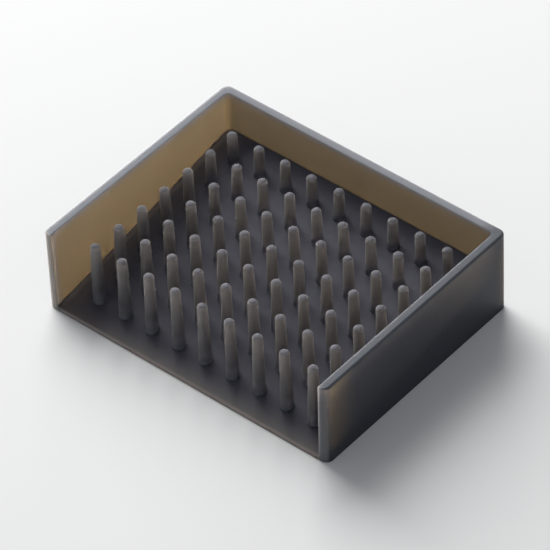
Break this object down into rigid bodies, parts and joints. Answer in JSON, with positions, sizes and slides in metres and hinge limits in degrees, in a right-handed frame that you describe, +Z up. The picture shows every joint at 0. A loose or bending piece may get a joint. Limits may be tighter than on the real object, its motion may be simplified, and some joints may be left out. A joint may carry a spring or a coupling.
{
  "type": "soap dish",
  "caption": "Three-walled silicone soap tray with a floor that slopes to its open front and a bed of upright round-tipped pins that holds a bar clear of the draining water.",
  "frame": {"origin": "middle of the footprint, on the surface that the tray stands on", "axes": "+X along the open front to the right as seen from the front, +Y from the open front to the back wall, +Z up"},
  "size_m": [0.13, 0.101, 0.036],
  "materials": {
    "wall_silicone": "satin, translucent",
    "floor_silicone": "satin, translucent",
    "pin_silicone": "satin, translucent"
  },
  "bodies": {
    "root": {"floor": "floor_silicone", "left_wall": "wall_silicone", "right_wall": "wall_silicone", "back_wall": "wall_silicone", "pin_row_1": "pin_silicone", "pin_row_2": "pin_silicone", "pin_row_3": "pin_silicone", "pin_row_4": "pin_silicone", "pin_row_5": "pin_silicone", "pin_row_6": "pin_silicone", "pin_row_7": "pin_silicone"}
  },
  "joints": []
}
